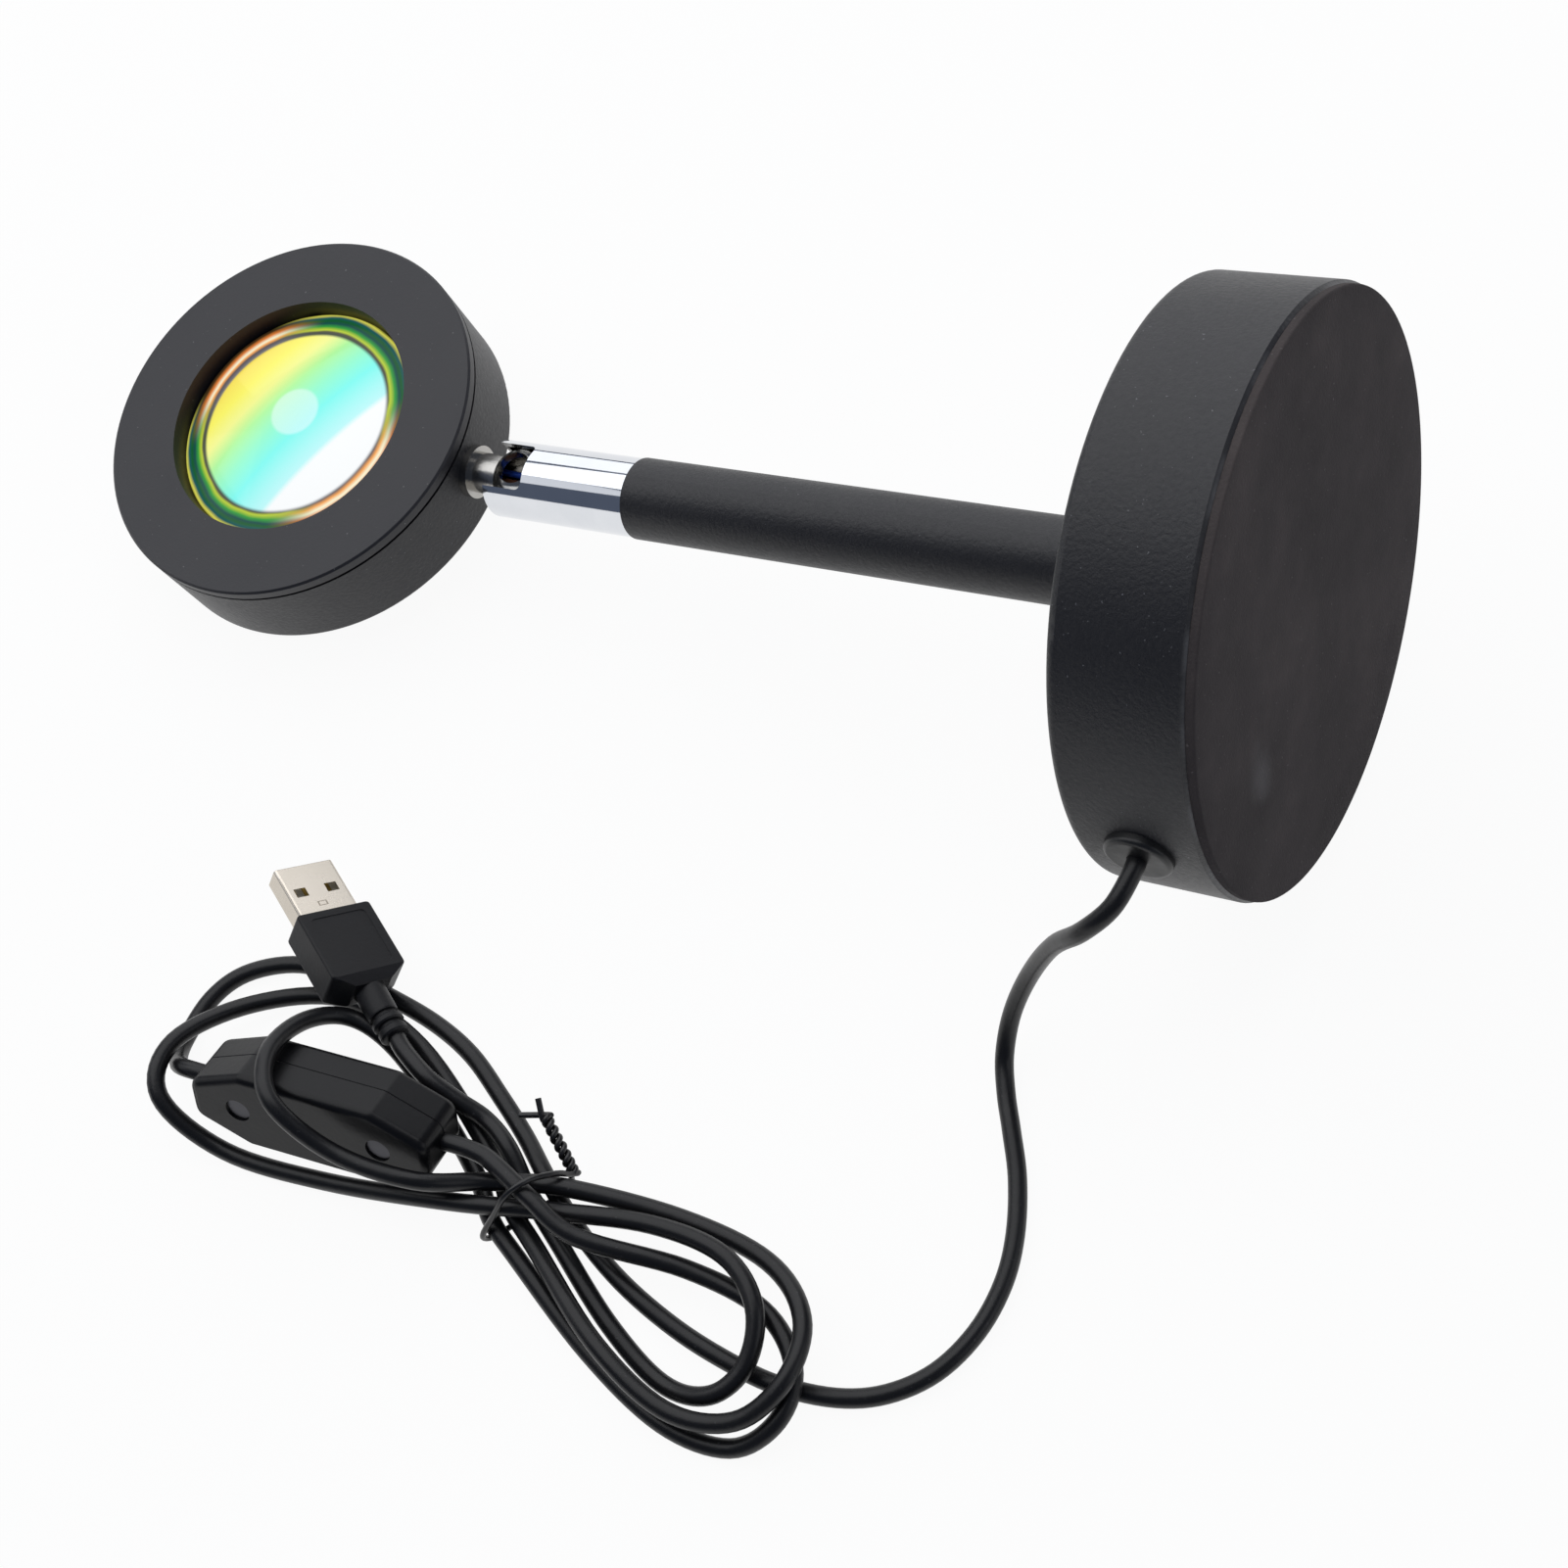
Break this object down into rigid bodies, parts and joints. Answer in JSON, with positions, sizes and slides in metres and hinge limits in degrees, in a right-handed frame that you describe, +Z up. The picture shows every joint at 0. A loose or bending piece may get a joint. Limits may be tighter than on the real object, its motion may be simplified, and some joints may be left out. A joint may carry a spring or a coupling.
{
  "type": "sunset projection lamp",
  "caption": "Slim desk lamp that throws a sunset-coloured disc of light, lying on its side with its cord, switch and plug tied in a hank.",
  "frame": {"origin": "middle of the foam pad's outer face, under the base, where the stem's axis meets it", "axes": "+Z up from the table the lamp lies on, +X level, the way the pad faces, +Y level, the side opposite the cord's exit; the stem runs towards -X and dips 11.7 degrees"},
  "size_m": [0.2587, 0.2037, 0.1023],
  "materials": {
    "foam": "matte",
    "powder_coat": "satin",
    "iron_weight": "matte",
    "black_rubber": "matte",
    "zinc": "satin",
    "brass": "satin",
    "wire_blue": "satin",
    "chrome": "polished",
    "nylon": "matte",
    "nickel": "satin",
    "bezel_grey": "satin",
    "lens_glass": "polished",
    "filter_glass": "polished",
    "board_white": "matte",
    "phosphor": "matte",
    "cord_black": "satin",
    "tie_black": "satin",
    "switch_black": "satin",
    "plug_black": "satin",
    "plug_steel": "satin",
    "tongue_white": "matte",
    "gold_contact": "polished"
  },
  "bodies": {
    "stem_body": {"foam_pad": "foam", "base_shell": "powder_coat", "base_weight": "iron_weight", "cord_grommet": "black_rubber", "cord_stop": "tie_black", "stem_tube": "powder_coat", "stem_bush": "zinc", "stem_nipple": "brass", "stem_washer": "zinc", "stem_nut": "zinc", "stem_wires": "wire_blue", "cord_lead": "cord_black", "cord_hank": "cord_black", "twist_tie": "tie_black", "switch_bottom_shell": "switch_black", "switch_top_shell": "switch_black", "switch_screws": "zinc", "switch_contacts": "gold_contact", "usb_overmold": "plug_black", "usb_shell": "plug_steel", "usb_tongue": "tongue_white", "usb_contacts": "gold_contact"},
    "sleeve_body": {"swivel_sleeve": "chrome", "ball_seat": "nylon", "clip_ring": "zinc"},
    "head_body": {"swivel_neck": "nickel", "neck_nut": "zinc", "neck_wires": "wire_blue", "head_housing": "powder_coat", "front_bezel": "bezel_grey", "lens": "lens_glass", "dichroic_filter": "filter_glass", "lens_spacer": "switch_black", "led_board": "board_white", "led_chip": "phosphor", "board_screws": "zinc"},
    "rocker_body": {"switch_rocker": "switch_black"}
  },
  "joints": [
    {"name": "head_swivel", "type": "hinge", "parent": "stem_body", "child": "sleeve_body", "pos_m": [-0.15666, 0, -0.03252], "axis": [-0.9791, 0, -0.2033], "range_deg": [-170, 170]},
    {"name": "head_tilt", "type": "hinge", "parent": "sleeve_body", "child": "head_body", "pos_m": [-0.15666, 0, -0.03252], "axis": [-0.0248, 0.9925, 0.1193], "range_deg": [-16, 84]},
    {"name": "rocker_tilt", "type": "hinge", "parent": "stem_body", "child": "rocker_body", "pos_m": [-0.13911, -0.12217, -0.04443], "axis": [-0.038, 0.4524, 0.891], "range_deg": [-12, 0]}
  ]
}
